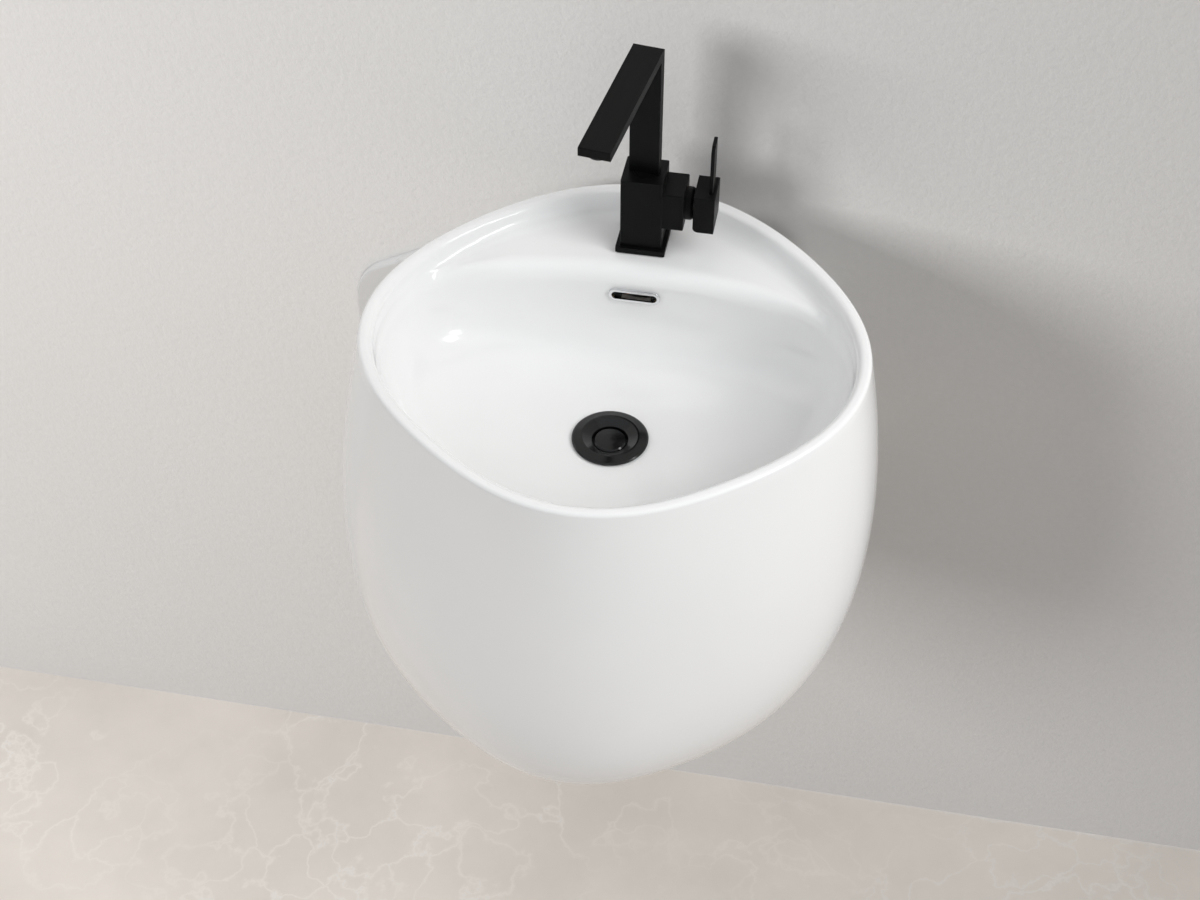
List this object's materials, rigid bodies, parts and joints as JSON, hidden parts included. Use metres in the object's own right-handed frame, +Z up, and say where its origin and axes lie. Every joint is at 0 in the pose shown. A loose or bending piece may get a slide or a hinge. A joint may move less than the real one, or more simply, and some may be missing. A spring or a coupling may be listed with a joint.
{
  "type": "wall hung basin",
  "caption": "Egg-shaped wall hung basin with a rear tap deck, oval overflow, square side-lever mixer with swivel spout, click waste and bottle trap.",
  "frame": {"origin": "midway between the two wall bolt holes, on the wall plane", "axes": "+X across the wall to the right seen from the room, +Y into the wall, +Z up"},
  "size_m": [0.5178, 0.4725, 0.4805],
  "materials": {
    "glaze": "gloss white glaze",
    "plate_white": "gloss white",
    "black": "matte black",
    "waste_black": "satin black",
    "chrome_trim": "polished",
    "bright_brass": "machined",
    "copper_tail": "drawn tube",
    "nickel": "satin",
    "rubber_black": "matte",
    "rubber_grey": "matte",
    "plastic_white": "gloss",
    "plastic_grey": "matte",
    "plastic_cream": "matte"
  },
  "bodies": {
    "basin": {"basin_body": "glaze", "back_plate": "plate_white", "wall_bolt_bush_left": "plastic_white", "wall_bolt_bush_right": "plastic_white", "tap_base_seal": "rubber_black", "tap_base_plate": "black", "tap_body": "black", "tap_shank": "bright_brass", "shank_rubber_washer": "rubber_black", "shank_metal_washer": "nickel", "shank_nut": "bright_brass", "hot_inlet_tail": "copper_tail", "cold_inlet_tail": "copper_tail", "cartridge_body": "plastic_cream", "cartridge_nut": "bright_brass", "handle_neck": "black", "waste_flange_seal": "rubber_black", "waste_body": "waste_black", "click_cartridge": "plastic_white", "waste_lower_seal": "rubber_grey", "waste_washer": "plastic_grey", "waste_back_nut": "bright_brass", "trap_inlet_washer": "rubber_grey", "trap_inlet_nut": "plastic_white", "trap_inlet_tube": "plastic_white", "trap_body": "plastic_white", "trap_neck_nut": "plastic_white", "trap_cup_seal": "rubber_grey", "trap_cup": "plastic_white", "trap_outlet_pipe": "plastic_white", "trap_outlet_nut": "plastic_white", "overflow_ring": "chrome_trim"},
    "spout": {"spout": "black", "aerator_housing": "black", "aerator_insert": "plastic_grey", "spout_seal": "rubber_black"},
    "temperature_rotor": {"cartridge_rotor": "plastic_grey", "rotor_cross_pin": "nickel"},
    "handle": {"cartridge_stem": "nickel", "handle_block": "black", "lever_blade": "black", "handle_grub_screw": "nickel"},
    "plug": {"plug_cap": "waste_black", "plug_seal": "rubber_black", "plug_stem": "nickel"}
  },
  "joints": [
    {"name": "spout_swivel", "type": "hinge", "parent": "basin", "child": "spout", "pos_m": [0, -0.071, 0.1565], "axis": [0, 0, 1], "range_deg": [-50, 70]},
    {"name": "handle_turn", "type": "hinge", "parent": "basin", "child": "temperature_rotor", "pos_m": [0.0234, -0.071, 0.128], "axis": [1, 0, 0], "range_deg": [-45, 45]},
    {"name": "handle_lift", "type": "hinge", "parent": "temperature_rotor", "child": "handle", "pos_m": [0.0234, -0.071, 0.128], "axis": [0, 1, 0], "range_deg": [0, 18]},
    {"name": "plug_slide", "type": "slide", "parent": "basin", "child": "plug", "axis": [0, 0, 1], "range_m": [0, 0.009]}
  ]
}
